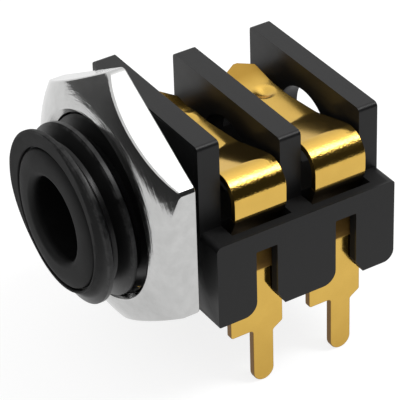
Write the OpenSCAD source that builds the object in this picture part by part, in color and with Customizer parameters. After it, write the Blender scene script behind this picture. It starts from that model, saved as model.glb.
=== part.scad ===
// Two-pole jack socket for a panel and a printed board, with break contacts
// The origin is on the plug's axis, on the face that meets the panel. The plug leaves along -Y, +Z is up.

/* [Plug and bush] */
// Diameter of the plug bore
bore_d = 3.6; // [3.55:0.01:3.7]
// Width of the lead-in at the mouth of the bore
lead_in = 0.12; // [0.05:0.01:0.3]
// Length of the threaded bush in front of the panel face
bush_length = 4.4; // [3.5:0.1:6]
// Outside diameter of the bush's thread
thread_d = 7.5; // [7.2:0.1:8]
// Depth of the thread
thread_depth = 0.62; // [0.4:0.02:0.7]
// Advance of the thread in one turn
thread_pitch = 1.06; // [0.8:0.01:1.25]
// Diameter of the bush's smooth front
nose_d = 5.9; // [5:0.1:6.2]
// How far that front stands ahead of the thread
nose_length = 0.12; // [0.1:0.02:0.6]

/* [Walls] */
// Width of the three upright walls
wall_width = 8; // [7.6:0.1:9]
// Thickness of the front and middle walls
wall_thickness = 1; // [0.8:0.05:1.1]
// Thickness of the rear wall
rear_thickness = 0.9; // [0.7:0.05:1.2]
// Distance from one wall to the next, which is also the pitch of the pins
wall_pitch = 3.81; // [3.7:0.01:4]
// Height of the front wall above the plug's axis
front_wall_top = 3.9; // [3.6:0.1:4.5]
// Height of the other walls above the plug's axis
wall_top = 2.95; // [2.7:0.05:3.4]
// Radius of the walls' top corners
wall_round = 0.2; // [0.1:0.05:0.4]

/* [Base] */
// Width of the base
base_width = 10.5; // [10.3:0.1:11]
// Depth of the ledge's top below the plug's axis
ledge_depth = 0.1; // [0:0.05:0.2]
// Depth of the base's underside below the plug's axis
base_depth = 4; // [3.9:0.05:4.4]
// Radius of the base's lower corners
base_round = 0.5; // [0.2:0.05:0.6]
// Thickness of the outer skirt that covers each contact
skirt = 0.44; // [0.35:0.01:0.48]
// Width of the slot in the skirt, in line with each pin
slot_width = 1; // [0.9:0.05:1.2]
// Depth of the slot's closed end below the plug's axis
slot_top = 1; // [0.8:0.05:1.4]

/* [Contacts] */
// Thickness of the contact sheet
sheet = 0.3; // [0.25:0.01:0.32]
// Width of a contact strip
strip_width = 2.44; // [2.3:0.02:2.6]
// Width of the free tongue
tongue_width = 1.5; // [1.3:0.05:1.7]
// Distance from the side of the base in to the outer face of a contact
contact_inset = 0.5; // [0.48:0.01:0.6]
// Width of a board pin
pin_width = 0.98; // [0.9:0.01:1.1]
// Depth of the pins' tips below the plug's axis
pin_depth = 7.92; // [7.4:0.02:8.4]
// Depth of the shoulders that sit on the board, below the plug's axis
seat_depth = 5.25; // [4.9:0.05:5.6]
// Height of the spring's hump above the plug's axis
hump_top = 2.13; // [2.05:0.01:2.2]
// Outside radius of the hump
hump_radius = 1.03; // [0.9:0.01:1.1]
// Angle at which the tongue runs down from the hump
tongue_dip = 12; // [10:0.5:13]
// Angle at which the tongue's free end lifts
tongue_lift = 10; // [8:0.5:12]
// How far the round contact dimple stands below the tongue
dimple_depth = 0.15; // [0.1:0.01:0.2]

/* [Nut] */
// Width of the nut across its flats
nut_flats = 10.2; // [10:0.1:11]
// Thickness of the nut
nut_thickness = 1.9; // [1.5:0.1:2.4]
// Room for the panel between the nut and the front wall
panel_gap = 0.77; // [0.5:0.01:1]
// Gap between the nut and the crests of the bush's thread
nut_clearance = 0.05; // [0.02:0.01:0.1]

/* [Hidden] */
$fn = 64;
over = 1;

// Walls and bays along the plug's axis
rear_wall_y = 2 * wall_pitch;
socket_length = rear_wall_y + rear_thickness;
bay_width = wall_pitch - wall_thickness;
sleeve_bay = wall_thickness + bay_width / 2;
tip_bay = sleeve_bay + wall_pitch;
bays = [sleeve_bay, tip_bay];
wall_root = base_depth / 2;

// Thread, with angles round its section
bush_r = thread_d / 2;
nose_round = 0.25;
thread_flat = 30;
thread_facet = 15;
thread_phase = 240 - 360 * 0.29;
thread_slices = ceil((bush_length - nose_length + wall_thickness / 3) / thread_pitch * 360 / thread_facet);
thread_length = thread_slices * thread_pitch * thread_facet / 360;

// Pockets that the contacts stand in
trough_r = bore_d / 2 + 0.25;
contact_face = base_width / 2 - contact_inset;
skirt_face = base_width / 2 - skirt;
plate_room = 0.03;
plate_pocket_top = 2.4;
spring_pocket_face = 3.75;
slot_shift = -0.08;
slot_flare = 0.35;
slot_flare_height = 0.6;

// Blank of a contact below the base
arm_reach = 1.55;
shoulder_reach = 0.95;
shoulder_slant = 0.3;

// Bends of the spring, as angles and inside radii
blank_width = 4;
bend_r = 0.3;
lap = 2;
jog_angle = 24;
jog_bottom = -2.3;
jog_top = 0.55;
jog_run = ((jog_top - jog_bottom) / 2 - (2 * bend_r + sheet) * sin(jog_angle)) / cos(jog_angle);
band_run = hump_top - hump_radius - jog_top;
hump_x = contact_face - hump_radius;
low_x = 1.5;
low_r = 1.5;
dip_run = (hump_x - low_x - (hump_radius + low_r) * sin(tongue_dip)) / cos(tongue_dip);
low_z = hump_top - (hump_radius + low_r) * (1 - cos(tongue_dip)) - dip_run * sin(tongue_dip);
tongue_rise = 1;
rise_x = low_x - low_r * sin(tongue_rise);
rise_z = low_z + low_r * (1 - cos(tongue_rise));
bend_x = -1.2;
bend_z = rise_z + (rise_x - bend_x) * tan(tongue_rise);
rise_run = (rise_x - bend_x) / cos(tongue_rise);
lift_r = 2;
lift_x = bend_x - lift_r * (sin(tongue_lift) - sin(tongue_rise));
lift_z = bend_z + lift_r * (cos(tongue_rise) - cos(tongue_lift));
lift_run = 3;
tongue_end = 3.05;
tongue_cut = 0.4;
tip_width = 0.2;
taper_start = 3.3;
taper_end = -0.2;

// Contact dimple pressed down into the tongue
dimple_r = 0.8;
dimple_x = -0.85;
dimple_top = rise_z + (rise_x - dimple_x) * tan(tongue_rise);
dimple_z = dimple_top - sheet - dimple_depth + dimple_r;

// Break contact, which the tongue's free end rests on
break_r = 0.4;
break_bend_z = -0.35;
break_lean = 46;
break_pad = 0.6;
rest_gap = 0.03;
pad_angle = 90 + tongue_lift;
break_outer = break_r + sheet;
break_x = contact_face - break_outer * (1 - cos(pad_angle));
break_z = break_bend_z + break_outer * sin(pad_angle);
under_tongue = lift_z + (break_x + lift_x) * tan(tongue_lift) - (sheet + rest_gap) / cos(tongue_lift);
break_run = (under_tongue - break_z) / (cos(break_lean) + sin(break_lean) * tan(tongue_lift));

// Nut, with a crowned front face
nut_bore_r = bush_r + nut_clearance;
nut_back = -panel_gap;
nut_front = nut_back - nut_thickness;
crown_r = 3.7;
crown_start = 3.2;
nut_chamfer = 0.25;

// Solids from outlines
module along_y(length) {
    rotate([90, 0, 0]) mirror([0, 0, 1]) linear_extrude(length) children();
}

module along_x(length) {
    rotate([90, 0, 90]) linear_extrude(length) children();
}

module bore(radius, from, to) {
    translate([0, from, 0]) rotate([-90, 0, 0]) cylinder(r = radius, h = to - from);
}

// Outline that is round at its two upper corners
module arched(width, bottom, top, round) {
    translate([-width / 2, bottom]) square([width, top - round - bottom]);
    translate([round - width / 2, bottom]) square([width - 2 * round, top - bottom]);
    for (side = [-1, 1]) translate([side * (width / 2 - round), top - round]) circle(round);
}

// Housing
// Radius of the thread's section, which runs from its crest to its root and back in one turn
function thread_radius(angle) =
    let (from_crest = min(angle, 360 - angle))
    bush_r - thread_depth * min(max((from_crest - thread_flat) / (180 - 2 * thread_flat), 0), 1);

// Right-hand thread, twisted from its front face back into the front wall
module thread() {
    translate([0, nose_length - bush_length, 0]) rotate([-90, 0, 0]) rotate(-thread_phase)
        linear_extrude(thread_length, twist = -360 * thread_length / thread_pitch, slices = thread_slices,
            $fn = 360 / thread_facet)
            polygon([
                for (a = [0 : thread_facet : 360 - thread_facet]) thread_radius(a) * [cos(a), sin(a)]
            ]);
}

module nose() {
    rotate([90, 0, 0]) rotate_extrude() {
        square([nose_d / 2, bush_length - nose_round]);
        square([nose_d / 2 - nose_round, bush_length]);
        translate([nose_d / 2 - nose_round, bush_length - nose_round]) intersection() {
            circle(nose_round);
            square(nose_round);
        }
    }
}

module bush() {
    thread();
    nose();
}

module wall(y, thickness, top) {
    translate([0, y, 0]) along_y(thickness) arched(wall_width, -wall_root, top, wall_round);
}

module base() {
    translate([-base_width / 2, 0, 0]) along_x(base_width) {
        translate([0, base_round - base_depth])
            square([socket_length, base_depth - base_round - ledge_depth]);
        translate([0, -base_depth]) square([socket_length - base_round, base_depth - ledge_depth]);
        translate([socket_length - base_round, base_round - base_depth]) circle(base_round);
    }
}

// Slot in the skirt, rounded at one lower corner and sloped at the other
module slot_outline() {
    half = slot_width / 2;
    round = slot_flare_height;
    translate([-half, -base_depth - over]) square([slot_width, base_depth + over - slot_top]);
    difference() {
        translate([-half - round, -base_depth - over]) square([round, over + round]);
        translate([-half - round, round - base_depth]) circle(round);
        translate([-half - 2 * round, -base_depth - 2 * over]) square([round, 4 * over]);
    }
    polygon([
        [half, slot_flare_height - base_depth], [half + slot_flare, -base_depth],
        [half + slot_flare, -base_depth - over], [half, -base_depth - over]
    ]);
}

// Room for one contact on the +X side of a bay
module contact_pocket() {
    plate_width = strip_width + 2 * plate_room;
    translate([spring_pocket_face, -bay_width / 2, -plate_pocket_top])
        cube([skirt_face - spring_pocket_face, bay_width, plate_pocket_top + over]);
    translate([contact_face - sheet, -plate_width / 2, -base_depth - over])
        cube([skirt_face - contact_face + sheet, plate_width, base_depth + over - plate_pocket_top]);
    translate([skirt_face - over / 10, slot_shift, 0]) along_x(skirt + over) slot_outline();
}

module housing() {
    color([0.16, 0.16, 0.165]) difference() {
        union() {
            bush();
            wall(0, wall_thickness, front_wall_top);
            wall(wall_pitch, wall_thickness, wall_top);
            wall(rear_wall_y, rear_thickness, wall_top);
            base();
        }
        bore(bore_d / 2, -bush_length - over, socket_length + over);
        translate([0, -bush_length, 0]) rotate([-90, 0, 0])
            cylinder(r1 = bore_d / 2 + lead_in, r2 = bore_d / 2, h = lead_in);
        for (y = bays) {
            bore(trough_r, y - bay_width / 2, y + bay_width / 2);
            for (side = [0, 1]) translate([0, y, 0]) mirror([side, 0, 0]) contact_pocket();
        }
    }
}

// Nut, flats facing left and right
module crown() {
    rotate([90, 0, 0]) rotate_extrude() difference() {
        translate([nut_bore_r, -nut_back]) square([nut_flats - nut_bore_r, nut_thickness]);
        difference() {
            translate([crown_start, -nut_back]) square([nut_flats, nut_thickness + over]);
            translate([crown_start, -nut_front - crown_r]) circle(crown_r);
        }
        polygon([
            [nut_bore_r, -nut_front - nut_chamfer], [nut_bore_r + nut_chamfer, -nut_front],
            [nut_bore_r, -nut_front]
        ]);
    }
}

module panel_nut() {
    color([0.78, 0.78, 0.78]) intersection() {
        translate([0, nut_front, 0]) rotate([-90, 0, 0]) rotate([0, 0, 30])
            cylinder(d = nut_flats / cos(30), h = nut_thickness, $fn = 6);
        crown();
    }
}

// Edge of a formed strip: each piece carries on from the end of the one before it
module flat(run) {
    square([run, sheet]);
    translate([run, 0]) children();
}

module ring_sector(radius, start, angle) {
    reach = 4 * (radius + sheet);
    intersection() {
        difference() {
            circle(radius + sheet);
            circle(radius);
        }
        polygon([[0, 0], reach * [cos(start), sin(start)], reach * [cos(start + angle), sin(start + angle)]]);
    }
}

// The halves of a bend are drawn from its two ends and overlap in the middle
module bend_in(angle, radius) {
    outer = radius + sheet;
    half = angle / 2 + lap;
    translate([0, outer]) ring_sector(radius, -90, half);
    translate([outer * sin(angle), outer * (1 - cos(angle))]) rotate(angle) {
        translate([0, outer]) ring_sector(radius, -90 - half, half);
        children();
    }
}

module bend_out(angle, radius) {
    half = angle / 2 + lap;
    translate([0, -radius]) ring_sector(radius, 90 - half, half);
    translate([radius * sin(angle), -radius * (1 - cos(angle))]) rotate(-angle) {
        translate([0, -radius]) ring_sector(radius, 90, half);
        children();
    }
}

module strip() {
    translate([0, -blank_width / 2, 0]) along_y(blank_width)
        translate([contact_face, -pin_depth]) rotate(90) children();
}

// Outline of the strip, its shoulders and its pin, seen from the side
module leg_blank(top) {
    half_pin = pin_width / 2;
    translate([-strip_width / 2, -base_depth]) square([strip_width, base_depth + top]);
    polygon([
        [-arm_reach, -base_depth], [-arm_reach, -seat_depth], [-half_pin, -seat_depth],
        [half_pin, -seat_depth - shoulder_slant], [shoulder_reach, -seat_depth], [shoulder_reach, -base_depth]
    ]);
    translate([-half_pin, half_pin - pin_depth]) square([pin_width, pin_depth - half_pin - slot_top]);
    translate([0, half_pin - pin_depth]) circle(half_pin);
}

// Outline of the hump and the tongue, seen from above
module tongue_blank() {
    half_strip = strip_width / 2;
    half_tongue = tongue_width / 2;
    polygon([
        [base_width, -half_strip], [base_width, half_strip], [taper_start, half_strip],
        [taper_end, half_tongue], [tongue_cut - tongue_end, half_tongue],
        [-tongue_end, tip_width / 2], [-tongue_end, -tip_width / 2],
        [tongue_cut - tongue_end, -half_tongue], [taper_end, -half_tongue], [taper_start, -half_strip]
    ]);
}

module formed_spring() {
    strip()
        flat(pin_depth + jog_bottom) bend_in(jog_angle, bend_r) flat(jog_run)
        bend_out(2 * jog_angle, bend_r) flat(jog_run) bend_in(jog_angle, bend_r) flat(band_run)
        bend_in(90 + tongue_dip, hump_radius - sheet) flat(dip_run)
        bend_out(tongue_dip + tongue_rise, low_r) flat(rise_run)
        bend_out(tongue_lift - tongue_rise, lift_r) flat(lift_run);
}

module dimple(radius) {
    translate([dimple_x, 0, dimple_z]) sphere(radius);
}

module contact_spring(bay) {
    color([0.87, 0.7, 0.33]) translate([0, bay, 0]) difference() {
        union() {
            intersection() {
                formed_spring();
                union() {
                    translate([spring_pocket_face, 0, 0]) along_x(base_width) leg_blank(hump_top);
                    translate([0, 0, jog_top]) linear_extrude(hump_top) tongue_blank();
                }
            }
            intersection() {
                dimple(dimple_r);
                translate([dimple_x - over, -over, 0]) cube([2 * over, 2 * over, dimple_top - sheet / 2]);
            }
        }
        dimple(dimple_r - sheet);
    }
}

module formed_break() {
    strip()
        flat(pin_depth + break_bend_z) bend_in(break_lean, break_r) flat(break_run)
        bend_in(pad_angle - break_lean, break_r) flat(break_pad);
}

module break_contact(bay) {
    color([0.87, 0.7, 0.33]) translate([0, bay, 0]) mirror([1, 0, 0]) intersection() {
        formed_break();
        union() {
            along_x(base_width) leg_blank(0);
            translate([0, -tongue_width / 2, -base_depth])
                cube([base_width, tongue_width, base_depth + hump_top]);
        }
    }
}

module sleeve_spring() {
    contact_spring(sleeve_bay);
}

module tip_spring() {
    contact_spring(tip_bay);
}

module sleeve_break_contact() {
    break_contact(sleeve_bay);
}

module tip_break_contact() {
    break_contact(tip_bay);
}

housing();
panel_nut();
sleeve_spring();
tip_spring();
sleeve_break_contact();
tip_break_contact();
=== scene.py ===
import math

import bmesh
import bpy
from bpy.props import FloatProperty, FloatVectorProperty, PointerProperty
from bpy.types import Operator, Panel, PropertyGroup
from mathutils import Matrix, Vector


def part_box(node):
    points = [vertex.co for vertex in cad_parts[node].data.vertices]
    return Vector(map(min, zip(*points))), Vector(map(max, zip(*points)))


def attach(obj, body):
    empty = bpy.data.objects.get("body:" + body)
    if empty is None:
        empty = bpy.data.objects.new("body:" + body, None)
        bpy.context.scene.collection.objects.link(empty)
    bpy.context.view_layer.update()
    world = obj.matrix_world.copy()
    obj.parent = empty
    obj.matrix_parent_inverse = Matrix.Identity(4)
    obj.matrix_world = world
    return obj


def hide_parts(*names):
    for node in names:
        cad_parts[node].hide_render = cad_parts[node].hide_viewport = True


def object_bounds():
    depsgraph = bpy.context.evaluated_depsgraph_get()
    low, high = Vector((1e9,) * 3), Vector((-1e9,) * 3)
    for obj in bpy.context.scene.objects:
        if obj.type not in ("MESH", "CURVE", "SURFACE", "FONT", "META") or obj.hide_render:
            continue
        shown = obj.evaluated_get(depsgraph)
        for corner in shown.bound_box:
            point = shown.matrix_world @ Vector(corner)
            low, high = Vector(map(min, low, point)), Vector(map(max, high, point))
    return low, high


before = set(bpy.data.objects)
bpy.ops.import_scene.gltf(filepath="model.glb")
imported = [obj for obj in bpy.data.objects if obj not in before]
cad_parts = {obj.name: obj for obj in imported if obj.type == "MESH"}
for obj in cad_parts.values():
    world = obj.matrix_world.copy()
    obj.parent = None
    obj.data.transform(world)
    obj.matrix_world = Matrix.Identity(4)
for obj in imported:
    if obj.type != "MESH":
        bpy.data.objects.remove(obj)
CAD_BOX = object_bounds()
HOUSING_LOW, HOUSING_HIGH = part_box("housing")
NUT_LOW, NUT_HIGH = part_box("panel_nut")
SPRING_LOW, SPRING_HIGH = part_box("sleeve_spring")
BREAK_LOW, BREAK_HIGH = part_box("sleeve_break_contact")
MM = 0.001

bl_info = {
    "name": "Jack socket",
    "version": (1, 0, 0),
    "blender": (4, 5, 0),
    "location": "3D View > Sidebar > Jack socket",
    "description": "Moulded jack socket with a threaded bush, a chromed nut and gilt spring contacts",
    "category": "Add Mesh",
}


# Sizes and colours that a user would change

def length(name, description, size):
    """Size, given in millimetres."""
    return FloatProperty(name=name, description=description, default=size * MM, unit="LENGTH", precision=5)


def turn(name, description, degrees):
    """Angle, given in degrees."""
    return FloatProperty(name=name, description=description, default=math.radians(degrees), subtype="ANGLE")


def colour(name, description, default):
    return FloatVectorProperty(
        name=name, description=description, default=default, subtype="COLOR", size=3, min=0, max=1
    )


class HousingSizes(PropertyGroup):
    """Sizes of the black moulding."""

    wall_width: length("Wall width", "Width of the three upright walls", 8)
    wall_thickness: length("Wall thickness", "Thickness of the front and middle walls", 1)
    wall_pitch: length("Wall pitch", "Distance from one wall to the next", 3.81)
    wall_top: length("Wall top", "Height of the middle and rear walls above the plug's axis", 2.95)
    wall_round: length("Wall corner", "Radius of the walls' top corners", 0.2)
    ledge: length("Ledge", "Depth of the base's top below the plug's axis", 0.1)
    base_round: length("Base corner", "Radius of the base's lower rear corner", 0.5)
    skirt: length("Skirt", "Thickness of the skirt outside each contact", 0.44)
    slot_width: length("Slot width", "Width of the slot in line with each pin", 1)
    slot_top: length("Slot top", "Depth of the slot's closed end below the plug's axis", 1)
    bore_radius: length("Bore radius", "Radius of the plug's bore", 1.8)
    mouth_round: length("Mouth", "Radius of the bore's rounded mouth", 0.26)
    trough_radius: length("Trough radius", "Radius of the hollow under each spring", 2.05)
    edge_round: length("Edge", "Radius of the moulding's edges", 0.07)
    nose_radius: length("Nose radius", "Radius of the bush's smooth front", 2.94)
    nose_round: length("Nose rounding", "Width of the rounding at the front's rim", 0.7)
    thread_crest: length("Thread crest", "Radius of the thread's crest", 3.74)
    thread_root: length("Thread root", "Radius of the thread's root", 3.12)
    thread_pitch: length("Thread pitch", "Advance of the thread in one turn", 1.06)
    thread_face: length("Thread face", "Depth of the thread's first face behind the front", 0.12)
    thread_start: turn("Thread start", "Angle at which the thread rises out of the root", 240)


class NutSizes(PropertyGroup):
    """Sizes of the chromed nut."""

    crown_radius: length("Crown radius", "Radius of the crowned front, seen from the side", 3.7)
    crown_start: length("Crown start", "Distance from the axis at which the crown begins", 3.2)
    bore_radius: length("Bore radius", "Radius of the nut's bore", 3.8)
    countersink: length("Countersink", "Width of the chamfer at the bore's front", 0.27)
    edge_round: length("Edge", "Radius of the plated edges", 0.07)
    corner_round: length("Corner", "Radius of the six corners between the flats", 0.34)


class ContactSizes(PropertyGroup):
    """Sizes of the gilt contacts."""

    sheet: length("Sheet", "Thickness of the contact strip", 0.3)
    edge_round: length("Edge", "Radius of the strip's edges", 0.035)
    strip_width: length("Strip width", "Width of the strip", 2.44)
    tongue_width: length("Tongue width", "Width of the free tongue", 1.5)
    pin_width: length("Pin width", "Width of a board pin", 0.98)
    seat_depth: length("Seat depth", "Depth of the shoulders below the plug's axis", 5.25)
    arm_reach: length("Arm reach", "Reach of the front shoulder from the pin's middle", 1.55)
    shoulder_reach: length("Shoulder reach", "Reach of the rear shoulder from the pin's middle", 0.95)
    shoulder_slant: length("Shoulder slant", "Height of the slope under the rear shoulder", 0.3)
    bend_radius: length("Bend radius", "Inside radius of the jog's bends", 0.3)
    jog_turn: turn("Jog angle", "Angle of the inward jog", 24)
    jog_bottom: length("Jog bottom", "Depth at which the jog begins", 2.3)
    jog_top: length("Jog top", "Height at which the jog ends", 0.55)
    hump_radius: length("Hump radius", "Outside radius of the rolled hump", 1.03)
    tongue_dip: turn("Tongue dip", "Angle at which the tongue runs down from the hump", 11)
    tongue_rise: turn("Tongue rise", "Angle at which the tongue crosses the bore", 1)
    tongue_lift: turn("Tongue lift", "Angle at which the tongue's end lifts", 10)
    end_twist: turn("End twist", "Angle by which the sleeve tongue's free end is twisted", 16)
    twist_run: length("Twist run", "Length over which that twist comes in", 0.8)
    low_place: length("Low place", "Distance of the tongue's low bend from the axis", 1.5)
    low_radius: length("Low radius", "Radius of the low bend", 1.5)
    lift_place: length("Lift place", "Distance past the axis at which the end begins to lift", 1.2)
    lift_radius: length("Lift radius", "Radius of the bend where the end lifts", 2)
    taper_start: length("Taper start", "Distance from the axis where the taper begins", 3.3)
    taper_end: length("Taper end", "Distance past the axis where the taper ends", 0.2)
    tongue_cut: length("Tongue cut", "Length of the sloped cuts at the tongue's end", 0.4)
    tip_width: length("Tip width", "Width of the blunt tip between those cuts", 0.2)
    dimple_place: length("Dimple place", "Distance of the dimple past the axis", 0.85)
    dimple_reach: length("Dimple reach", "Radius at which the dimple runs out into the strip", 0.6)
    dimple_depth: length("Dimple depth", "Depth of the pressed dimple", 0.15)
    break_bend: length("Break bend", "Depth of the break contact's first bend", 0.35)
    break_radius: length("Break radius", "Inside radius of the break contact's bends", 0.4)
    break_lean: turn("Break lean", "Angle of the break contact's arm", 46)
    break_pad: length("Break pad", "Length of the pad under the tongue", 0.6)


class Finishes(PropertyGroup):
    """Colours of the three finishes."""

    moulding: colour("Moulding", "Black of the moulding", (0.006, 0.006, 0.0062))
    moulding_worn: colour("Rubbed moulding", "Paler black where it is rubbed", (0.017, 0.017, 0.0175))
    # Painted highlight: paler grey on the thread's crests
    moulding_crest_highlight: colour("Scuffed moulding", "Grey of the thread's scuffed crests", (0.06, 0.06, 0.06))
    chrome: colour("Chrome", "Colour of the nut's plating", (0.59, 0.59, 0.585))
    chrome_dull: colour("Dull chrome", "Colour of the plating where it is hazed", (0.47, 0.47, 0.465))
    gilt: colour("Gilt", "Colour of the contacts' plating", (0.72, 0.465, 0.105))
    # Darker gilt: a random deeper tone, and painted shade towards the pin tips and the tongue's far end
    gilt_deep_and_shade: colour("Deep gilt", "Colour of the plating where it is thick", (0.43, 0.25, 0.042))
    # Brown of unplated metal on the legs' cut edges, where it is also painted shade, and painted shade at
    # the jog's bends
    bare_strip_and_shade: colour("Bare strip", "Colour of the cut edges and of cracked bends", (0.2, 0.11, 0.035))
    # Painted shade: near-black brown for the strip where it sits in its pocket
    painted_pocket_shade: colour("Tarnish", "Colour of the strip where it sits in its pocket", (0.05, 0.04, 0.025))


class Studio(PropertyGroup):
    """Camera, and the surround that metal reflects."""

    azimuth: turn("Azimuth", "Direction of the camera round the part", 58.84)
    elevation: turn("Elevation", "Height of the camera above the horizon", 34.395)
    roll: turn("Roll", "Tilt of the camera about its own axis", -1.929)
    distance: length("Distance", "Distance of the camera from its aim", 104.8)
    aim: FloatVectorProperty(
        name="Aim", description="Point in the middle of the frame", subtype="XYZ", unit="LENGTH",
        default=(0.848 * MM, 1.966 * MM, -1.014 * MM),
    )
    lens: FloatProperty(name="Lens", description="Focal length on a 36 mm sensor", default=231.69)
    surround_radius: length("Surround radius", "Radius of the dark surround that metal reflects", 70)
    surround_top: length("Surround top", "Height of that surround", 37)


# Shader expressions

# Share of a ramp that one millimetre takes
BAND = 0.05


def overload(operation):
    """Methods for an operator and for its reflected form."""
    def plain(self, other):
        return self.combine(operation, self, other)

    def reflected(self, other):
        return self.combine(operation, other, self)

    return plain, reflected


class Wire:
    """A shader socket that can stand in a Python expression."""

    def __init__(self, finish, socket):
        self.finish = finish
        self.socket = socket

    def combine(self, operation, first, second):
        """Math on values, and Vector Math where either side is a vector."""
        vectors = [x for x in (first, second) if isinstance(x, Wire) and x.socket.type != "VALUE"]
        if not vectors:
            return self.finish.add("ShaderNodeMath", {"operation": operation}, {0: first, 1: second})
        pair = [x if isinstance(x, (Wire, tuple)) else (x, x, x) for x in (first, second)]
        return self.finish.add("ShaderNodeVectorMath", {"operation": operation}, {0: pair[0], 1: pair[1]})

    __add__, __radd__ = overload("ADD")
    __sub__, __rsub__ = overload("SUBTRACT")
    __mul__, __rmul__ = overload("MULTIPLY")
    __pow__, __rpow__ = overload("POWER")


class Finish:
    """A material or world made of nodes."""

    def __init__(self, block):
        block.use_nodes = True
        self.block = block
        self.tree = block.node_tree
        self.tree.nodes.clear()

    def add(self, kind, settings, sockets, out=0):
        """Adds one node: its settings first, then the values or links of its sockets."""
        node = self.tree.nodes.new(kind)
        for key, value in settings.items():
            if key == "stops":
                while len(node.color_ramp.elements) < len(value):
                    node.color_ramp.elements.new(1.0)
                for element, (place, level) in zip(node.color_ramp.elements, value):
                    element.position = place
                    element.color = (level, level, level, 1)
            else:
                setattr(node, key, value)
        for key, value in sockets.items():
            if isinstance(value, Wire):
                self.tree.links.new(value.socket, node.inputs[key])
            else:
                node.inputs[key].default_value = value
        return Wire(self, node.outputs[out]) if node.outputs else None

    def blend(self, factor, first, second):
        """Mixes two colours."""
        pair = [tone if isinstance(tone, Wire) else (*tone, 1.0) for tone in (first, second)]
        return self.add("ShaderNodeMix", {"data_type": "RGBA"}, {0: factor, 6: pair[0], 7: pair[1]}, 2)

    def ramp(self, factor, *stops):
        """Level between stops of (place, level)."""
        return self.add("ShaderNodeValToRGB", {"stops": stops}, {0: factor})

    def band(self, place, *stops):
        """Level that changes with a place in millimetres, between -10 and 10."""
        return self.ramp(place * BAND + 0.5, *[(x * BAND + 0.5, level) for x, level in stops])

    def axes(self, place):
        """The three parts of a place."""
        parts = self.add("ShaderNodeSeparateXYZ", {}, {0: place}).socket.node
        return [Wire(self, socket) for socket in parts.outputs]

    def millimetres(self):
        """Place on the part, in millimetres."""
        return self.add("ShaderNodeTexCoord", {}, {}, "Object") * (1 / MM)

    def noise(self, place, scale, detail=3.0, roughness=0.55):
        return self.add(
            "ShaderNodeTexNoise", {},
            {"Vector": place, "Scale": scale, "Detail": detail, "Roughness": roughness}, "Fac",
        )

    def bump(self, height, distance):
        return self.add(
            "ShaderNodeBump", {}, {"Height": height, "Distance": distance, "Strength": 1.0}, "Normal"
        )

    def sight(self):
        """Camera rays, and the rays that mirrors and glass pass on."""
        node = self.add("ShaderNodeLightPath", {}, {}).socket.node
        kinds = ("Is Camera Ray", "Is Glossy Ray", "Is Transmission Ray")
        camera, glossy, through = [Wire(self, node.outputs[kind]) for kind in kinds]
        return camera, glossy + through

    def surface(self, sockets):
        """Principled shader with its output."""
        shader = self.add("ShaderNodeBsdfPrincipled", {}, sockets)
        self.add("ShaderNodeOutputMaterial", {}, {"Surface": shader})
        return self.block


# Finishes; bands are places in millimetres along the part's axes

def material(name):
    return Finish(bpy.data.materials.new(name))


def moulding_finish(colours):
    """Satin black moulding with a fine grain, cloudy gloss, pale rub marks, painted highlights on the
    thread's crests and painted shade on the bush.
    """
    finish = material("grained_moulding")
    place = finish.millimetres()
    grain = finish.noise(place, 26.0, 3.0, 0.6)
    cloud = finish.noise(place, 0.8, 4.0)
    smear = finish.noise(place * (0.7, 5.0, 2.2), 1.0, 4.0, 0.65)
    rubbed = finish.ramp(finish.noise(place * (1.0, 2.5, 1.0), 3.2, 5.0, 0.7), (0.56, 0.0), (0.74, 1.0))
    tone = finish.blend(0.5 * cloud + 0.5 * (rubbed * smear), colours.moulding, colours.moulding_worn)
    across, along, upward = finish.axes(place)
    bush = finish.band(along, (-0.1, 1.0), (0.0, 0.0))
    radius = (across * across + upward * upward) ** 0.5
    nose = finish.band(along, (-4.1, 1.0), (-4.0, 0.0))
    # Painted highlight: thin paler lines along the thread's crests, broken up by noise
    crest = bush * finish.band(radius, (3.62, 0.0), (3.71, 1.0), (3.74, 0.3))
    crest = crest * finish.ramp(finish.noise(place, 1.6, 4.0, 0.7), (0.45, 0.0), (0.6, 1.0))
    # Painted shade: the bush's black is made darker than the rest of the moulding
    tone = finish.blend(0.45 * bush, tone, (0, 0, 0))
    tone = finish.blend(crest, tone, colours.moulding_crest_highlight)
    room = finish.band(along, (0.05, 0.0), (0.15, 1.0), (8.2, 1.0), (8.3, 0.0))
    room = room * finish.band(upward, (-0.05, 1.0), (0.0, 0.0))
    room = room * finish.band(across, (-5.22, 0.0), (-5.12, 1.0), (5.12, 1.0), (5.22, 0.0))
    gloss = 0.2 + 0.16 * cloud + 0.08 * grain + 0.1 * smear
    return finish.surface({
        "Base Color": tone,
        "Roughness": gloss + 0.34 * nose - 0.04 * bush + 0.4 * room,
        "Normal": finish.bump(grain * 0.6 + smear * 2.0 + cloud * 4.0, 0.0009 * MM),
        "IOR": 1.5,
        "Specular IOR Level": 0.25,
    })


def chrome_finish(colours):
    """Bright plating over turning marks that run round the bore."""
    finish = material("turned_chrome")
    place = finish.millimetres()
    across, _, upward = finish.axes(place)
    radius = (across * across + upward * upward) ** 0.5
    ring = finish.add("ShaderNodeCombineXYZ", {}, {0: radius * 9.0, 1: across * 0.8, 2: upward * 0.8})
    marks = finish.noise(ring, 1.0, 3.0, 0.6)
    cloud = finish.noise(place, 0.7, 3.0)
    blotch = finish.ramp(finish.noise(place, 1.8, 4.0, 0.6), (0.35, 0.0), (0.65, 1.0))
    pits = finish.noise(place, 9.0, 4.0, 0.6)
    return finish.surface({
        "Base Color": finish.blend(0.6 * cloud + 0.4 * blotch, colours.chrome, colours.chrome_dull),
        "Metallic": 1.0,
        "Roughness": 0.05 + 0.08 * cloud + 0.06 * marks,
        "Normal": finish.bump(marks + pits * 0.1, 0.007 * MM),
    })


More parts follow.
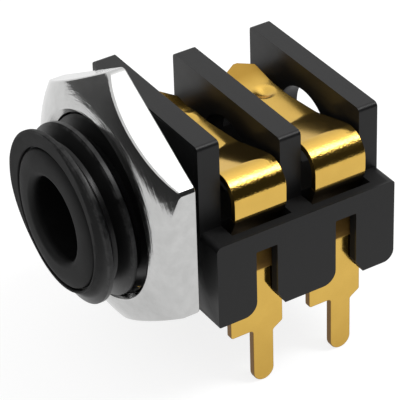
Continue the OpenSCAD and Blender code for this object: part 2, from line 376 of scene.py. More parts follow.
def gilt_finish(colours):
    """Bright gilt over rolled strip: pimpled bends and draw lines, with painted shade in the pockets, at
    the jog's bends, towards the pin tips and the tongue's end, and on the legs' cut edges, which are partly
    unplated.
    """
    finish = material("rolled_gilt")
    place = finish.millimetres()
    pimples = finish.noise(place, 10.0, 3.0, 0.65)
    lines = finish.noise(place * (1.5, 16.0, 1.5), 1.0, 3.0, 0.6)
    cloud = finish.noise(place, 0.9, 3.0)
    across, along, upward = finish.axes(place)
    stretched = finish.band(across, (3.7, 0.0), (4.2, 1.0)) * finish.band(upward, (1.2, 0.0), (1.6, 1.0))
    hazed = finish.band(across, (-2.5, 0.2), (1.5, 0.02)) + finish.band(along, (4.0, 0.0), (4.8, 0.07))
    legs = finish.band(upward, (-2.2, 1.0), (-1.9, 0.0))
    near = finish.band(across, (1.0, 0.0), (2.0, 1.0))
    jog = near * finish.band(upward, (-2.35, 0.0), (-2.3, 1.0), (-1.1, 1.0), (-0.7, 0.0))
    # Painted shade: the strip is darkened and made rougher where it sits in its pocket
    pocket_shade = near * finish.band(upward, (-1.1, 0.0), (-0.7, 1.0), (0.35, 1.0), (0.5, 0.0))
    sheared = finish.add("ShaderNodeAttribute", {"attribute_name": "sheared"}, {}, "Fac")
    # Brown on the legs' cut edges is partly unplated metal and partly painted shade; brown at the jog's
    # bends is painted shade
    bare_and_shade = sheared * legs + jog * (0.6 + 0.4 * cloud)
    # Darker gilt in a random cloud, plus painted shade towards the pin tips and towards the tongue's far
    # end
    depth = 0.35 * cloud + finish.band(upward, (-7.9, 0.35), (-4.5, 0.0))
    depth = depth + finish.band(across, (-3.9, 0.1), (-3.1, 0.9), (-2.2, 0.8), (-1.3, 0.0))
    plating = finish.blend(depth, colours.gilt, colours.gilt_deep_and_shade)
    plating = finish.blend(bare_and_shade, plating, colours.bare_strip_and_shade)
    return finish.surface({
        "Base Color": finish.blend(pocket_shade, plating, colours.painted_pocket_shade),
        "Metallic": 1.0,
        "Roughness": 0.04 + 0.05 * cloud + 0.35 * bare_and_shade + 0.3 * jog + 0.4 * pocket_shade + hazed,
        "Normal": finish.bump(pimples * (0.02 + stretched) + lines * 0.02, 0.012 * MM),
    })


# Mesh helpers

# Distances below which edges are level, points are joined and corners are one
LEVEL = 1e-9
JOIN = 1e-8
SAME = 1e-7


def clamp(share):
    return min(max(share, 0), 1)


def arc(middle, radius, start, end, steps):
    """Points on an arc from one angle to another, in degrees."""
    turns = [math.radians(start + (end - start) * k / steps) for k in range(steps + 1)]
    return [(middle[0] + radius * math.cos(t), middle[1] + radius * math.sin(t)) for t in turns]


def rounded(corners, steps=8):
    """Outline through corners (u, v, radius), each rounded by its own radius."""
    points = []
    for k, (u, v, radius) in enumerate(corners):
        here = Vector((u, v))
        if radius == 0:
            points.append((u, v))
            continue
        back = (Vector(corners[k - 1][:2]) - here).normalized()
        onward = (Vector(corners[(k + 1) % len(corners)][:2]) - here).normalized()
        half = back.angle(onward) / 2
        middle = here + (back + onward).normalized() * (radius / math.sin(half))
        reach = radius / math.tan(half)
        first = here + back * reach - middle
        last = here + onward * reach - middle
        start = math.atan2(first.y, first.x)
        sweep = (math.atan2(last.y, last.x) - start + math.pi) % (2 * math.pi) - math.pi
        for t in range(steps + 1):
            angle = start + sweep * t / steps
            points.append((middle.x + radius * math.cos(angle), middle.y + radius * math.sin(angle)))
    kept = []
    for point in points:
        if not kept or math.dist(point, kept[-1]) > SAME:
            kept.append(point)
    if math.dist(kept[0], kept[-1]) < SAME:
        kept.pop()
    return kept


def prism(outline, axis, low, high):
    """Solid between two planes across an axis, from an outline in the other two."""
    order = {"X": (2, 0, 1), "Y": (0, 2, 1), "Z": (0, 1, 2)}[axis]
    bm = bmesh.new()
    rings = []
    for level in (low, high):
        triples = [(u, v, level) for u, v in outline]
        rings.append([bm.verts.new([triple[k] for k in order]) for triple in triples])
    count = len(outline)
    bm.faces.new(rings[0])
    bm.faces.new(list(reversed(rings[1])))
    for k in range(count):
        n = (k + 1) % count
        bm.faces.new((rings[0][n], rings[0][k], rings[1][k], rings[1][n]))
    bmesh.ops.recalc_face_normals(bm, faces=bm.faces)
    return bm


def weave(columns, join):
    """Solid from columns of points; neighbouring points that fall together are joined."""
    bm = bmesh.new()
    grid = [[bm.verts.new(point) for point in column] for column in columns]
    for left, right in zip(grid, grid[1:]):
        for k in range(len(left) - 1):
            bm.faces.new((left[k], left[k + 1], right[k + 1], right[k]))
    bmesh.ops.remove_doubles(bm, verts=bm.verts, dist=join)
    bmesh.ops.dissolve_degenerate(bm, edges=bm.edges, dist=join)
    bmesh.ops.recalc_face_normals(bm, faces=bm.faces)
    return bm


def turned(rows, angle):
    """Points of (radius, y) rows at an angle about the plug's axis."""
    return [(r * math.cos(angle), y, r * math.sin(angle)) for r, y in rows]


def lathe(profile, steps):
    """Solid turned about the plug's axis from (radius, y) points that begin and end on the axis."""
    return weave([turned(profile, 2 * math.pi * k / steps) for k in range(steps + 1)], JOIN)


def add_object(name, data):
    """Object in the scene for a mesh, a lamp or a camera."""
    obj = bpy.data.objects.new(name, data)
    bpy.context.scene.collection.objects.link(obj)
    return obj


def place_object(name, bm):
    """Object in the scene from a mesh in the making."""
    mesh = bpy.data.meshes.new(name)
    bm.to_mesh(mesh)
    bm.free()
    return add_object(name, mesh)


def settle(obj):
    """Turns an object's modifiers into its own mesh."""
    graph = bpy.context.evaluated_depsgraph_get()
    mesh = bpy.data.meshes.new_from_object(obj.evaluated_get(graph))
    worn_out = obj.data
    obj.modifiers.clear()
    obj.data = mesh
    bpy.data.meshes.remove(worn_out)


def carve(obj, operation, solids):
    """Joins solids to an object or cuts them out of it."""
    for bm in solids:
        tool = place_object("tool", bm)
        step = obj.modifiers.new("carve", "BOOLEAN")
        step.operation = operation
        step.solver = "EXACT"
        step.object = tool
        settle(obj)
        tool_mesh = tool.data
        bpy.data.objects.remove(tool)
        bpy.data.meshes.remove(tool_mesh)


def soften(obj, width, limit):
    """Rounds an object's edges that turn by more than the limit."""
    step = obj.modifiers.new("soften", "BEVEL")
    step.width = width
    step.segments = 3
    step.limit_method = "ANGLE"
    step.angle_limit = math.radians(limit)
    step.miter_outer = "MITER_ARC"
    step.use_clamp_overlap = True
    settle(obj)


def shade(obj, limit):
    """Smooth shading that keeps large faces flat, with edges above the limit left sharp."""
    obj.data.shade_smooth()
    obj.data.set_sharp_from_angle(angle=math.radians(limit))
    # Weighted normals need areas that aren't near zero, so the mesh is in millimetres meanwhile
    obj.data.transform(Matrix.Scale(1 / MM, 4))
    step = obj.modifiers.new("shade", "WEIGHTED_NORMAL")
    step.mode = "FACE_AREA"
    step.weight = 100
    step.keep_sharp = True
    settle(obj)
    obj.data.transform(Matrix.Scale(MM, 4))


def dress(obj, name, make, body, node):
    """Gives a piece its finish, made when it is first asked for, and its place in the frame."""
    finish = bpy.data.materials.get(name) or make(bpy.context.scene.jack_finishes)
    obj.data.materials.clear()
    obj.data.materials.append(finish)
    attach(obj, body)
    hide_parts(node)


# Housing

# Small details of the base, the slots and the room for the contacts
OVERRUN = 1 * MM
BASE_FRONT_ROUND = 0.25 * MM
BASE_REAR_ROUND = 0.15 * MM
BASE_FOOT_ROUND = 0.1 * MM
SLOT_SHIFT = 0.08 * MM
SLOT_ROUND = 0.06 * MM
SLOT_SWEEP = 0.6 * MM
SLOT_SWEEP_END = 0.9 * MM
SLOT_SLOPE_ROUND = 0.1 * MM
SLOT_FLARE = 0.35 * MM
POCKET_FACE = 3.75 * MM
POCKET_FLOOR = -2.4 * MM
POCKET_TOP = 4 * MM
SHAFT_TOP = -2.3 * MM
SHAFT_GAP = 0.03 * MM
SKIRT_LAP = 0.1 * MM
BORE_LAP = 0.5 * MM

# Small details of the bush; the thread's ridge and its run-in are in turns
BUSH_LAP = 0.3 * MM
NOSE_DEPTH = 0.2 * MM
GROOVE_STEPS = (0.02 * MM, 0.07 * MM, 0.09 * MM, 0.12 * MM)
GROOVE_DEPTH = 0.32 * MM
GROOVE_LIP = 0.03 * MM
THREAD_LEAD = 0.31 * MM
RUN_IN = 0.17
RIDGE_CREST = 1 / 12
RIDGE_FOOT = 5 / 12
RIDGE_CUTS = (0.045, 0.085, 0.13, 0.18, 0.24, 0.3, 0.36, 0.41)

# Divisions of round shapes, and the angles above which edges are rounded or stay sharp
TURN_STEPS = 192
DRUM_STEPS = 96
NOSE_STEPS = 8
MOUTH_STEPS = 10
HOUSING_ROUNDED = 40
HOUSING_SHARP = 38


def half_bay(sizes):
    """Half the room between two walls."""
    return (sizes.wall_pitch - sizes.wall_thickness) / 2


def bay_middles(sizes):
    """Places of the two bays' middles along the plug's axis."""
    first = sizes.wall_thickness + half_bay(sizes)
    return [first, first + sizes.wall_pitch]


def housing_block(sizes):
    """Base and walls, before the contacts' room is cut."""
    half = HOUSING_HIGH.x
    rear = HOUSING_HIGH.y
    floor = HOUSING_LOW.z
    base = prism(rounded([
        (0, -sizes.ledge, BASE_FRONT_ROUND), (rear, -sizes.ledge, BASE_REAR_ROUND),
        (rear, floor, sizes.base_round), (0, floor, BASE_FOOT_ROUND),
    ]), "X", -half, half)
    block = place_object("moulded_housing", base)
    side = sizes.wall_width / 2
    root = floor / 2
    corner = sizes.wall_round
    walls = []
    for low, high, top in (
        (0, sizes.wall_thickness, HOUSING_HIGH.z),
        (sizes.wall_pitch, sizes.wall_pitch + sizes.wall_thickness, sizes.wall_top),
        (2 * sizes.wall_pitch, rear, sizes.wall_top),
    ):
        outline = rounded([(-side, root, 0), (side, root, 0), (side, top, corner), (-side, top, corner)])
        walls.append(prism(outline, "Y", low, high))
    carve(block, "UNION", walls)
    return block


def rectangle(u0, v0, u1, v1):
    return [(u0, v0), (u1, v0), (u1, v1), (u0, v1)]


def slot_outline(sizes, middle):
    """Slot in the skirt, rounded at one lower corner and sloped at the other."""
    half = sizes.slot_width / 2
    fore = middle - SLOT_SHIFT - half
    rear = middle - SLOT_SHIFT + half
    floor = HOUSING_LOW.z
    below = floor - OVERRUN
    return rounded([
        (fore, -sizes.slot_top, SLOT_ROUND), (fore, floor, SLOT_SWEEP),
        (fore - SLOT_SWEEP_END, floor, 0), (fore - SLOT_SWEEP_END, below, 0),
        (rear + SLOT_FLARE, below, 0), (rear + SLOT_FLARE, floor, 0),
        (rear, floor + SLOT_SWEEP, SLOT_SLOPE_ROUND), (rear, -sizes.slot_top, SLOT_ROUND),
    ])


def contact_room(sizes, strip, side):
    """Everything that is cut away for the contacts on one side: pockets, shafts and slots."""
    half = HOUSING_HIGH.x
    inner = half - sizes.skirt
    plate_back = SPRING_HIGH.x - strip.sheet
    bay = half_bay(sizes)
    plate = strip.strip_width / 2 + SHAFT_GAP
    below = HOUSING_LOW.z - OVERRUN
    cuts = []
    for middle in bay_middles(sizes):
        for outline, near, far in (
            (rectangle(middle - bay, POCKET_FLOOR, middle + bay, POCKET_TOP), POCKET_FACE, inner),
            (rectangle(middle - plate, below, middle + plate, SHAFT_TOP), plate_back, inner),
            (slot_outline(sizes, middle), inner - SKIRT_LAP, half + OVERRUN),
        ):
            low, high = sorted((side * near, side * far))
            cuts.append(prism(outline, "X", low, high))
    return cuts


def thread_height(distance, part_turn):
    """Height of the thread, 0 to 1, at a distance from its start in turns."""
    along = distance - part_turn
    nearest = math.floor(along + 0.5)
    fall = clamp((abs(along - nearest) - RIDGE_CREST) / (RIDGE_FOOT - RIDGE_CREST))
    grown = clamp((part_turn + nearest) / RUN_IN)
    grown = grown * grown * (3 - 2 * grown)
    return (1 - fall) * grown


def bush_front(sizes, front, face):
    """Profile of the bush's rounded front and of the groove inside its thread."""
    nose, soft = sizes.nose_radius, sizes.nose_round
    profile = [(0, front)]
    for k in range(NOSE_STEPS + 1):
        t = math.radians(90 * k / NOSE_STEPS)
        profile.append((nose - soft + soft * math.sin(t), front + NOSE_DEPTH * (1 - math.cos(t))))
    inner, outer, lip, rim = [nose + step for step in GROOVE_STEPS]
    groove = front + GROOVE_DEPTH
    return profile + [(inner, groove), (outer, groove), (lip, face + GROOVE_LIP), (rim, face)]


def threaded_bush(sizes):
    """Bush with a smooth rounded front and a right-hand thread that rises out of the root."""
    front = HOUSING_LOW.y
    face = front + sizes.thread_face
    start = face - THREAD_LEAD
    pitch, root, crest = sizes.thread_pitch, sizes.thread_root, sizes.thread_crest
    profile = bush_front(sizes, front, face)
    offsets = [-0.5, *[-cut for cut in reversed(RIDGE_CUTS)], 0, *RIDGE_CUTS]
    turns = math.ceil((BUSH_LAP - front) / pitch) + 2
    columns = []
    for step in range(TURN_STEPS + 1):
        part_turn = step / TURN_STEPS
        rows = list(profile)
        for whole in range(-2, turns):
            for offset in offsets:
                y = min(max(start + pitch * (part_turn + whole + offset), face), BUSH_LAP)
                rows.append((root + (crest - root) * thread_height((y - start) / pitch, part_turn), y))
        rows.append((0, BUSH_LAP))
        columns.append(turned(rows, sizes.thread_start - 2 * math.pi * part_turn))
    return weave(columns, 2 * JOIN)


def drum(radius, low, high):
    """Plain round cutter on the plug's axis."""
    return lathe([(0, low), (radius, low), (radius, high), (0, high)], DRUM_STEPS)


def plug_bore(sizes, end):
    """Cutter for the plug's bore, with a rounded mouth."""
    front, bore, flare = HOUSING_LOW.y, sizes.bore_radius, sizes.mouth_round
    before = front - OVERRUN
    mouth = arc((bore + flare, front + flare), flare, 180, 270, MOUTH_STEPS)
    return lathe([(0, end), (bore, end), *mouth, (bore + flare, before), (0, before)], TURN_STEPS)


class JACK_OT_housing(Operator):
    """Build the black moulding with its walls, slots, bore and threaded bush"""

    bl_idname = "jack.housing"
    bl_label = "Moulded housing"

    def execute(self, context):
        sizes = context.scene.jack_housing
        strip = context.scene.jack_contacts
        block = housing_block(sizes)
        bay = half_bay(sizes)
        cuts = [drum(sizes.trough_radius, y - bay, y + bay) for y in bay_middles(sizes)]
        for side in (-1, 1):
            cuts += contact_room(sizes, strip, side)
        cuts.append(drum(sizes.bore_radius, sizes.wall_pitch - BORE_LAP, HOUSING_HIGH.y + OVERRUN))
        carve(block, "DIFFERENCE", cuts)
        soften(block, sizes.edge_round, HOUSING_ROUNDED)
        carve(block, "UNION", [threaded_bush(sizes)])
        carve(block, "DIFFERENCE", [plug_bore(sizes, sizes.wall_thickness + OVERRUN)])
        shade(block, HOUSING_SHARP)
        dress(block, "grained_moulding", moulding_finish, "socket", "housing")
        return {"FINISHED"}


# Nut

# Divisions of half a flat, of a corner and of the crown, and the angles of rounded and sharp edges
FLAT_STEPS = 14
CORNER_STEPS = 6
CROWN_STEPS = 16
NUT_ROUNDED = 33
NUT_SHARP = 34


def hexagon_rim(flats, corner):
    """Angles and radii round a hexagon with rounded corners, back to the start."""
    tangent = math.atan((flats - corner) * math.tan(math.pi / 6) / flats)
    middle = (flats - corner) / math.cos(math.pi / 6)
    rim = []
    for side in range(6):
        facing = side * math.pi / 3
        for k in range(2 * FLAT_STEPS + 1):
            off = tangent * (k / FLAT_STEPS - 1)
            rim.append((facing + off, flats / math.cos(off)))
        for k in range(1, CORNER_STEPS):
            lean = math.pi / 3 * (k / CORNER_STEPS - 0.5)
            off = Vector((middle + corner * math.cos(lean), corner * math.sin(lean)))
            rim.append((facing + math.pi / 6 + math.atan2(off.y, off.x), off.length))
    return rim + rim[:1]


def hexagon_nut(sizes):
    """Nut with a crowned front, flats facing left and right."""
    back, front = NUT_HIGH.y, NUT_LOW.y
    bore = sizes.bore_radius
    sink = sizes.countersink
    inner = bore + sink

    def crown(radius):
        past = max(radius - sizes.crown_start, 0)
        return front + sizes.crown_radius - math.sqrt(sizes.crown_radius ** 2 - past ** 2)

    columns = []
    for angle, rim in hexagon_rim(NUT_HIGH.x, sizes.corner_round):
        rows = [(bore, back), (rim, back), (rim, (back + crown(rim)) / 2)]
        for k in range(CROWN_STEPS + 1):
            radius = rim + (inner - rim) * k / CROWN_STEPS
            rows.append((radius, crown(radius)))
        rows += [(bore, crown(inner) + sink), (bore, back)]
        columns.append(turned(rows, angle))
    return weave(columns, 2 * JOIN)


class JACK_OT_nut(Operator):
    """Build the chromed hexagon nut"""

    bl_idname = "jack.nut"
    bl_label = "Panel nut"

    def execute(self, context):
        sizes = context.scene.jack_nut
        nut = place_object("hexagon_nut", hexagon_nut(sizes))
        soften(nut, sizes.edge_round, NUT_ROUNDED)
        shade(nut, NUT_SHARP)
        dress(nut, "turned_chrome", chrome_finish, "nut", "panel_nut")
        return {"FINISHED"}


# Contacts

# Radii of the blanks' corners, and the spare length past the springs' ends
SLOPE_ROUND = 0.15 * MM
SHOULDER_ROUND = 0.13 * MM
CROTCH_ROUND = 0.14 * MM
TAPER_START_ROUND = 1.2 * MM
TAPER_END_ROUND = 2 * MM
CUT_ROUND = 0.12 * MM
TIP_ROUND = 0.08 * MM
NECK_ROUND = 0.1 * MM
PAD_ROUND = 0.2 * MM
SPARE_END = 4 * MM

# Divisions of the bends in degrees, of the free end and of the dimple
BEND_STEP = 4
END_STEP = 0.12 * MM
DIMPLE_STEPS = 30
DIMPLE_MARGIN = 0.01 * MM

# Share of an edge's rounding that counts as rolled face, and the height where the twist comes in
ROLLED_SHARE = 0.1
TWIST_FLOOR = 0.5 * MM
TWIST_RISE = 0.8 * MM
CONTACT_SHARP = 32


class FoldedStrip:
    """Path of a strip's outer face through flats and bends, starting upwards."""

    def __init__(self, start, sheet):
        self.sheet = sheet
        self.point = Vector(start)
        self.heading = math.pi / 2
        self.length = 0.0
        self.pieces = []

    def flat(self, run, angle=0.0):
        """Adds a flat, or a run that turns by an angle."""
        self.pieces.append((self.length, run, self.point, self.heading, angle))
        self.point, self.heading = self.along(self.pieces[-1], run)
        self.length += run
        return self

    def bend(self, angle, radius):
        """Bends inwards for a positive angle, outwards for a negative one."""
        outer = radius + self.sheet if angle > 0 else radius
        return self.flat(outer * abs(angle), angle)

    @staticmethod
    def along(piece, distance):
        """Point and heading at a distance along one flat or bend."""
        _, run, point, heading, angle = piece
        if angle == 0:
            return point + distance * Vector((math.cos(heading), math.sin(heading))), heading
        ahead = heading + angle * distance / run
        shift = Vector((math.sin(ahead) - math.sin(heading), math.cos(heading) - math.cos(ahead)))
        return point + run / angle * shift, ahead

    def at(self, distance):
        """Point and inward direction at a distance along the strip."""
        piece = next((p for p in self.pieces if distance <= p[0] + p[1]), self.pieces[-1])
        point, heading = self.along(piece, distance - piece[0])
        return point, Vector((-math.sin(heading), math.cos(heading)))

    def where_x(self, x):
        """Distance at which the far end of the strip passes a value of x."""
        low, high = self.length / 2, self.length
        for _ in range(50):
            middle = (low + high) / 2
            if self.at(middle)[0].x > x:
                low = middle
            else:
                high = middle
        return low

    def cuts(self):
        """Distances at which the blank is divided, so that its bends and its free end come out smooth."""
        marks = []
        for begin, run, _, _, angle in self.pieces:
            steps = max(1, round(abs(math.degrees(angle)) / BEND_STEP))
            marks += [begin + run * k / steps for k in range(steps + 1)]
        begin, run = self.pieces[-1][:2]
        return marks + [begin + END_STEP * k for k in range(round(run / END_STEP))]


def leg_corners(sizes):
    """Half outlines of the pin and its shoulders: the rear side upwards, the front side downwards."""
    tip = SPRING_LOW.z
    pin = sizes.pin_width / 2
    seat = -sizes.seat_depth - tip
    neck = HOUSING_LOW.z - tip
    strip = sizes.strip_width / 2
    rear = [
        (0, pin, pin), (seat - sizes.shoulder_slant, pin, SLOPE_ROUND),
        (seat, sizes.shoulder_reach, SHOULDER_ROUND), (neck, sizes.shoulder_reach, 0), (neck, strip, 0),
    ]
    fore = [
        (neck, -strip, 0), (neck, -sizes.arm_reach, 0), (seat, -sizes.arm_reach, SHOULDER_ROUND),
        (seat, -pin, CROTCH_ROUND), (0, -pin, pin),
    ]
    return rear, fore


def whole_blank(sizes, far):
    """Flat outline of a contact, from the corners of one half of its far end."""
    rear, fore = leg_corners(sizes)
    return rounded(rear + far + [(s, -y, r) for s, y, r in reversed(far)] + fore)


def press_grid(bm, dimple, reach, steps):
    """Divides the strip lengthwise round the dimple."""
    for step in steps:
        faces = [f for f in bm.faces if abs(f.calc_center_median().x - dimple) < reach + DIMPLE_MARGIN]
        verts = list(dict.fromkeys(v for f in faces for v in f.verts))
        edges = list(dict.fromkeys(e for f in faces for e in f.edges))
        bmesh.ops.bisect_plane(
            bm, geom=verts + edges + faces, plane_co=(0, step - reach, 0), plane_no=(0, 1, 0), dist=JOIN
        )


def fold(sizes, path, outline, dimple=None):
    """Cuts the blank, rounds its edges, presses the dimple and folds it along the path."""
    bm = prism(outline, "Z", 0, sizes.sheet)
    rims = [e for e in bm.edges if abs(e.verts[0].co.z - e.verts[1].co.z) < LEVEL]
    bmesh.ops.bevel(
        bm, geom=rims, offset=sizes.edge_round, segments=2, profile=0.5, affect="EDGES", clamp_overlap=True
    )
    rolled = ROLLED_SHARE * sizes.edge_round
    sheared = bm.verts.layers.float.new("sheared")
    for vert in bm.verts:
        vert[sheared] = float(rolled < vert.co.z < sizes.sheet - rolled)
    reach = sizes.dimple_reach
    steps = [2 * reach * k / DIMPLE_STEPS for k in range(DIMPLE_STEPS + 1)]
    marks = path.cuts()
    if dimple:
        marks += [dimple - reach + step for step in steps]
    for mark in sorted(marks):
        geometry = list(bm.verts) + list(bm.edges) + list(bm.faces)
        bmesh.ops.bisect_plane(bm, geom=geometry, plane_co=(mark, 0, 0), plane_no=(1, 0, 0), dist=JOIN)
    if dimple:
        press_grid(bm, dimple, reach, steps)
    for vert in bm.verts:
        along, y, thick = vert.co
        off = math.hypot(along - dimple, y) if dimple else reach
        if off < reach:
            thick += sizes.dimple_depth * (1 + math.cos(math.pi * off / reach)) / 2
        point, inward = path.at(along)
        vert.co = (point.x + inward.x * thick, y, point.y + inward.y * thick)
    bmesh.ops.recalc_face_normals(bm, faces=bm.faces)
    return bm


def twist_end(mesh, sizes, middle, angle):
    """Twists the free end of a tongue about its middle line, and the pad under it alike."""
    for vertex in mesh.vertices:
        x, y, z = vertex.co
        reach = clamp((-x - sizes.lift_place) / sizes.twist_run)
        height = clamp((z - TWIST_FLOOR) / TWIST_RISE)
        vertex.co.z -= (y - middle) * math.tan(angle) * reach * height


def contact_bays(scene):
    """Name, middle and end twist of the contacts in each bay."""
    return zip(("sleeve", "tip"), bay_middles(scene.jack_housing), (scene.jack_contacts.end_twist, 0))


def finish_contact(contact, sizes, middle, twist, node):
    """Twists a folded contact's end and gilds it."""
    twist_end(contact.data, sizes, middle, twist)
    shade(contact, CONTACT_SHARP)
    dress(contact, "rolled_gilt", gilt_finish, "socket", node)


def spring_path(sizes):
    """Path of a spring: leg, inward jog, band, rolled hump, and tongue with its lifted end."""
    sheet, bend, jog = sizes.sheet, sizes.bend_radius, sizes.jog_turn
    jog_rise = sizes.jog_top + sizes.jog_bottom
    jog_run = (jog_rise / 2 - (2 * bend + sheet) * math.sin(jog)) / math.cos(jog)
    band = SPRING_HIGH.z - sizes.hump_radius - sizes.jog_top
    dip, rise, lift = sizes.tongue_dip, sizes.tongue_rise, sizes.tongue_lift
    path = FoldedStrip((SPRING_HIGH.x, SPRING_LOW.z), sheet)
    path.flat(-SPRING_LOW.z - sizes.jog_bottom).bend(jog, bend).flat(jog_run)
    path.bend(-2 * jog, bend).flat(jog_run).bend(jog, bend).flat(band)
    path.bend(math.pi / 2 + dip, sizes.hump_radius - sheet)
    path.flat((path.point.x - sizes.low_place - sizes.low_radius * math.sin(dip)) / math.cos(dip))
    path.bend(-dip - rise, sizes.low_radius)
    path.flat((path.point.x + sizes.lift_place) / math.cos(rise))
    path.bend(rise - lift, sizes.lift_radius).flat(SPARE_END)
    return path


def spring_blank(sizes, path):
    """Flat outline of a spring, with its tapered tongue and chamfered end."""
    strip, tongue = sizes.strip_width / 2, sizes.tongue_width / 2
    wide = path.where_x(sizes.taper_start)
    narrow = path.where_x(-sizes.taper_end)
    end = path.where_x(SPRING_LOW.x + sizes.sheet * math.sin(sizes.tongue_lift))
    return whole_blank(sizes, [
        (wide, strip, TAPER_START_ROUND), (narrow, tongue, TAPER_END_ROUND),
        (end - sizes.tongue_cut, tongue, CUT_ROUND), (end, sizes.tip_width / 2, TIP_ROUND),
    ])


class JACK_OT_springs(Operator):
    """Fold the two spring contacts"""

    bl_idname = "jack.springs"
    bl_label = "Contact springs"

    def execute(self, context):
        sizes = context.scene.jack_contacts
        path = spring_path(sizes)
        outline = spring_blank(sizes, path)
        dimple = path.where_x(-sizes.dimple_place)
        for bay, middle, twist in contact_bays(context.scene):
            spring = place_object(bay + "_contact_spring", fold(sizes, path, outline, dimple))
            spring.data.transform(Matrix.Translation((0, middle, 0)))
            finish_contact(spring, sizes, middle, twist, bay + "_spring")
        return {"FINISHED"}


def break_path(sizes):
    """Path of a break contact, drawn on the springs' side: leg, leaning arm and pad."""
    lean, bend = sizes.break_lean, sizes.break_radius
    pad_turn = math.pi / 2 + sizes.tongue_lift
    rest = (bend + sizes.sheet) * (math.cos(lean) - math.cos(pad_turn))
    path = FoldedStrip((-BREAK_LOW.x, SPRING_LOW.z), sizes.sheet)
    path.flat(-SPRING_LOW.z - sizes.break_bend).bend(lean, bend)
    across = path.point.x + BREAK_HIGH.x - rest - sizes.break_pad * math.sin(pad_turn)
    path.flat(across / math.sin(lean))
    path.bend(pad_turn - lean, bend).flat(sizes.break_pad)
    return path


def break_blank(sizes, path):
    """Flat outline of a break contact, which narrows above its leg."""
    strip, tongue = sizes.strip_width / 2, sizes.tongue_width / 2
    neck = -SPRING_LOW.z
    return whole_blank(sizes, [
        (neck, strip, NECK_ROUND), (neck, tongue, NECK_ROUND), (path.length, tongue, PAD_ROUND)
    ])


class JACK_OT_breaks(Operator):
    """Fold the two break contacts that the springs rest on"""

    bl_idname = "jack.breaks"
    bl_label = "Break contacts"

    def execute(self, context):
        sizes = context.scene.jack_contacts
        path = break_path(sizes)
        outline = break_blank(sizes, path)
        for bay, middle, twist in contact_bays(context.scene):
            contact = place_object(bay + "_break_strip", fold(sizes, path, outline))
            contact.data.transform(Matrix.Translation((0, middle, 0)) @ Matrix.Scale(-1, 4, (1, 0, 0)))
            contact.data.flip_normals()
            finish_contact(contact, sizes, middle, twist, bay + "_break_contact")
        return {"FINISHED"}


# Stage

# Floor, surround and canopy; arcs are in degrees, with their divisions
FLOOR_HALF = 0.4
FLOOR_CORNER = 0.1
FLOOR_THICKNESS = 2 * MM
FLOOR_GAP = 0.02 * MM
SURROUND_ARC = (-170, 85, 64)
SURROUND_GAP = 0.1 * MM
SURROUND_CLIMB = 0.7
CANOPY_RADIUS = 0.18
CANOPY_ARC = (140, 77, 32)
CANOPY_ENDS = (0.03, 0.14)
CANOPY_GLOW = 2.2
DULL = {"Roughness": 1.0, "Specular IOR Level": 0.0}

# Lamp
LAMP_WAY = (0.331, 0.427, 0.841)
LAMP_DISTANCE = 0.26
LAMP_SIZE = (0.07, 0.11)
LAMP_RADIANCE = 10.0

# Strengths of the floor where it is seen, of the world as light, and what that gains where it is seen
FLOOR_PAINT = (0.3, 0.3, 0.3, 1)
FLOOR_SEEN = 0.8
FLOOR_MIRRORED = 0.7
WORLD_LIGHT = 0.72
WORLD_SEEN = 0.28


def floor_finish():
    """White floor that keeps the part's shadow and reads as white behind it."""
    finish = material("white_floor")
    camera, mirrored = finish.sight()
    paint = finish.add("ShaderNodeBsdfDiffuse", {}, {"Color": FLOOR_PAINT})
    seen = FLOOR_SEEN * camera + FLOOR_MIRRORED * mirrored
    glow = finish.add("ShaderNodeEmission", {}, {"Color": (1, 1, 1, 1), "Strength": seen})
    both = finish.add("ShaderNodeAddShader", {}, {0: paint, 1: glow})
    finish.add("ShaderNodeOutputMaterial", {}, {"Surface": both})
    return finish.block


def surround_finish():
    """Dull dark cloth round the table."""
    finish = material("dark_cloth")
    across = finish.axes(finish.millimetres())[0]
    tone = finish.ramp(across * 0.007 + 0.5, (0.0, 0.22), (0.3, 0.06))
    return finish.surface({"Base Color": tone, **DULL})


def glow_finish():
    """White cloth that is brighter towards the lamp behind its end."""
    finish = material("lit_cloth")
    across = finish.axes(finish.millimetres())[0]
    tone = finish.ramp(across * 0.004 + 0.6, (0.05, 0.46), (0.58, 0.7), (0.65, 1.0))
    return finish.surface({
        "Base Color": (0, 0, 0, 1), "Emission Color": tone, "Emission Strength": CANOPY_GLOW, **DULL
    })


def white_world():
    """White room, seen at full strength and a little dimmer as light."""
    finish = Finish(bpy.data.worlds.new("white_studio"))
    camera, mirrored = finish.sight()
    strength = WORLD_LIGHT + WORLD_SEEN * (camera + mirrored)
    sky = finish.add("ShaderNodeBackground", {}, {"Color": (1, 1, 1, 1), "Strength": strength})
    finish.add("ShaderNodeOutputWorld", {}, {"Surface": sky})
    return finish.block


def top_light():
    """Area lamp that looks at the part, set by how bright its face is."""
    lamp = bpy.data.lights.new("top_light", "AREA")
    lamp.shape = "RECTANGLE"
    lamp.size, lamp.size_y = LAMP_SIZE
    lamp.energy = LAMP_RADIANCE * math.pi * LAMP_SIZE[0] * LAMP_SIZE[1]
    way = Vector(LAMP_WAY).normalized()
    obj = add_object("top_light", lamp)
    obj.location = way * LAMP_DISTANCE
    obj.rotation_mode = "QUATERNION"
    obj.rotation_quaternion = way.to_track_quat("Z", "Y")
    obj.visible_camera = False


def ribbon(lower, upper):
    """Open sheet between two rows of points."""
    bm = bmesh.new()
    rows = [[bm.verts.new(point) for point in row] for row in (lower, upper)]
    for k in range(len(lower) - 1):
        bm.faces.new((rows[0][k], rows[0][k + 1], rows[1][k + 1], rows[1][k]))
    return bm


def floor_slab(level):
    """Slab with rounded corners under the part."""
    low, high = -FLOOR_HALF, FLOOR_HALF
    outline = rounded([(u, v, FLOOR_CORNER) for u, v in rectangle(low, low, high, high)])
    return prism(outline, "Z", level - FLOOR_THICKNESS, level)


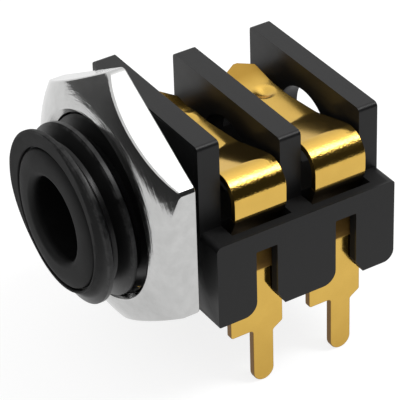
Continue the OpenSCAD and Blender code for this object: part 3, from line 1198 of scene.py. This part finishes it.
def surround_cloth(studio, level):
    """Cloth that stands round the table and climbs towards its far right."""
    radius = studio.surround_radius
    around = arc((0, 0), radius, *SURROUND_ARC)
    upper = []
    for x, y in around:
        climb = max(0, SURROUND_CLIMB * x + SURROUND_CLIMB * y) / radius
        upper.append((x, y, studio.surround_top * (1 + climb)))
    return ribbon([(x, y, level + SURROUND_GAP) for x, y in around], upper)


def canopy_cloth():
    """Curved roof behind the part."""
    roof = arc((0, 0), CANOPY_RADIUS, *CANOPY_ARC)
    return ribbon(*[[(x, y, z) for x, z in roof] for y in CANOPY_ENDS])


class JACK_OT_studio(Operator):
    """Set up the floor, the dark surround, the lit canopy, the lamp and the camera"""

    bl_idname = "jack.studio"
    bl_label = "Studio"

    def execute(self, context):
        studio = context.scene.jack_studio
        scene = context.scene
        scene.view_settings.view_transform = "Standard"
        scene.world = white_world()
        level = CAD_BOX[0].z - FLOOR_GAP
        ground = place_object("floor", floor_slab(level))
        ground.data.materials.append(floor_finish())
        surround = place_object("dark_surround", surround_cloth(studio, level))
        surround.data.materials.append(surround_finish())
        canopy = place_object("lit_canopy", canopy_cloth())
        canopy.data.materials.append(glow_finish())
        for screen in (surround, canopy):
            for rays in ("camera", "diffuse", "transmission", "shadow"):
                setattr(screen, "visible_" + rays, False)
        top_light()
        self.camera(scene, studio)
        return {"FINISHED"}

    def camera(self, scene, studio):
        """Camera at the photograph's place."""
        a, e = studio.azimuth, studio.elevation
        back = Vector((math.sin(a) * math.cos(e), -math.cos(a) * math.cos(e), math.sin(e)))
        right = Vector((math.cos(a), math.sin(a), 0))
        up = back.cross(right)
        across = right * math.cos(studio.roll) + up * math.sin(studio.roll)
        upward = back.cross(across)
        eye = Vector(studio.aim) + back * studio.distance
        lens = bpy.data.cameras.new("photo_camera")
        lens.lens = studio.lens
        lens.sensor_width = 36
        lens.sensor_fit = "HORIZONTAL"
        lens.clip_start, lens.clip_end = 1 * MM, 10
        scene.camera = add_object("photo_camera", lens)
        facing = Matrix((across, upward, back)).transposed().to_4x4()
        scene.camera.matrix_world = Matrix.Translation(eye) @ facing


# Panel and registration

class JACK_PT_panel(Panel):
    """Jack socket tools in the sidebar"""

    bl_label = "Jack socket"
    bl_space_type = "VIEW_3D"
    bl_region_type = "UI"
    bl_category = "Jack socket"

    def draw(self, context):
        for step in STEPS:
            self.layout.operator(step.bl_idname)
        for name, group in GROUPS.items():
            box = self.layout.box()
            for key in group.__annotations__:
                box.prop(getattr(context.scene, name), key)


GROUPS = {
    "jack_housing": HousingSizes, "jack_nut": NutSizes, "jack_contacts": ContactSizes,
    "jack_finishes": Finishes, "jack_studio": Studio,
}
STEPS = (JACK_OT_housing, JACK_OT_nut, JACK_OT_springs, JACK_OT_breaks, JACK_OT_studio)
CLASSES = (*GROUPS.values(), *STEPS, JACK_PT_panel)


def register():
    for cls in CLASSES:
        bpy.utils.register_class(cls)
    for name, group in GROUPS.items():
        setattr(bpy.types.Scene, name, PointerProperty(type=group))


def unregister():
    for name in GROUPS:
        delattr(bpy.types.Scene, name)
    for cls in reversed(CLASSES):
        bpy.utils.unregister_class(cls)


def main():
    register()
    bpy.ops.jack.housing()
    bpy.ops.jack.nut()
    bpy.ops.jack.springs()
    bpy.ops.jack.breaks()
    bpy.ops.jack.studio()


if __name__ == "__main__":
    main()
